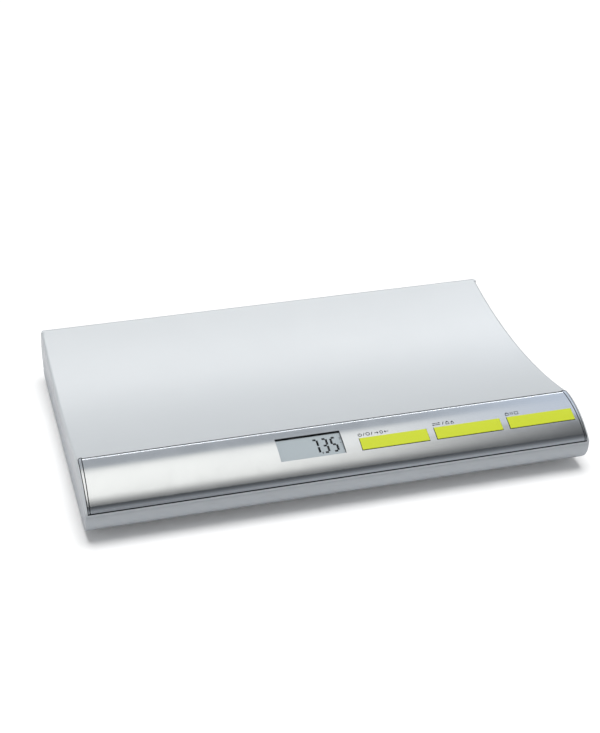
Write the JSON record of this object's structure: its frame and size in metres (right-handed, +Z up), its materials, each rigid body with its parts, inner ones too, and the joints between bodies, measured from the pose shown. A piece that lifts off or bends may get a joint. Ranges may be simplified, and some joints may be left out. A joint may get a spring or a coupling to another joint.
{
  "type": "digital baby weighing scale",
  "caption": "Long low baby scale with a trough-shaped weighing tray, a curved silver console with a display window and three lime keys, corner feet and a battery door underneath.",
  "frame": {"origin": "centre of the underside's footprint, on the surface that the rubber pads stand on", "axes": "+X to the right seen from the console, +Y from the console towards the rear, +Z up"},
  "size_m": [0.55, 0.37, 0.0742],
  "materials": {
    "tray_plastic": "satin metallic-tinted pale grey moulded plastic",
    "base_plastic": "satin silver-grey moulded plastic",
    "console_silver": "glossy silver metallic paint",
    "clear_window": "clear polished",
    "lcd_glass": "grey-green display glass with dark segments",
    "black_plastic": "matt black",
    "black_rubber": "matt",
    "circuit_board": "green solder mask",
    "ribbon_film": "grey film",
    "lime_plastic": "satin lime yellow",
    "switch_metal": "pressed steel",
    "battery_skin": "printed sleeve, plain",
    "contact_plate": "nickel plated",
    "foot_plastic": "matt light grey",
    "pad_rubber": "matt dark grey rubber",
    "cell_steel": "machined steel",
    "screw_steel": "zinc plated",
    "lead_sleeve": "soft sleeve"
  },
  "bodies": {
    "body": {"tray_shell": "tray_plastic", "base_housing": "base_plastic", "console_panel": "console_silver", "display_window": "clear_window", "lcd_glass": "lcd_glass", "lcd_frame": "black_plastic", "rubber_strips": "black_rubber", "display_board": "circuit_board", "display_chip": "black_plastic", "key_board": "circuit_board", "board_ribbon": "ribbon_film", "switch_tare": "switch_metal", "switch_unit": "switch_metal", "switch_hold": "switch_metal", "battery_1": "battery_skin", "battery_2": "battery_skin", "battery_3": "battery_skin", "battery_4": "battery_skin", "contacts_front": "contact_plate", "contacts_rear": "contact_plate", "foot_front_left": "foot_plastic", "foot_front_right": "foot_plastic", "foot_rear_left": "foot_plastic", "foot_rear_right": "foot_plastic", "pad_front_left": "pad_rubber", "pad_front_right": "pad_rubber", "pad_rear_left": "pad_rubber", "pad_rear_right": "pad_rubber", "load_cell_front_left": "cell_steel", "load_cell_front_right": "cell_steel", "load_cell_rear_left": "cell_steel", "load_cell_rear_right": "cell_steel", "cell_ring_front_left": "foot_plastic", "cell_ring_front_right": "foot_plastic", "cell_ring_rear_left": "foot_plastic", "cell_ring_rear_right": "foot_plastic", "housing_screws": "screw_steel", "board_screws": "screw_steel", "cell_screws": "screw_steel", "cell_leads": "lead_sleeve", "battery_lead": "lead_sleeve"},
    "key_tare": {"key_tare": "lime_plastic", "plunger_tare": "black_plastic"},
    "key_unit": {"key_unit": "lime_plastic", "plunger_unit": "black_plastic"},
    "key_hold": {"key_hold": "lime_plastic", "plunger_hold": "black_plastic"},
    "battery_door": {"battery_door": "base_plastic"}
  },
  "joints": [
    {"name": "key_tare_press", "type": "slide", "parent": "body", "child": "key_tare", "axis": [0, 0.4032, -0.9151], "range_m": [0, 0.0008], "stiffness_N_per_m": 1500, "springref_m": -0.0004},
    {"name": "key_unit_press", "type": "slide", "parent": "body", "child": "key_unit", "axis": [0, 0.4032, -0.9151], "range_m": [0, 0.0008], "stiffness_N_per_m": 1500, "springref_m": -0.0004},
    {"name": "key_hold_press", "type": "slide", "parent": "body", "child": "key_hold", "axis": [0, 0.4032, -0.9151], "range_m": [0, 0.0008], "stiffness_N_per_m": 1500, "springref_m": -0.0004},
    {"name": "battery_door_hinge", "type": "hinge", "parent": "body", "child": "battery_door", "pos_m": [-0.06, 0.0484, 0.008], "axis": [1, 0, 0], "range_deg": [0, 90]}
  ]
}
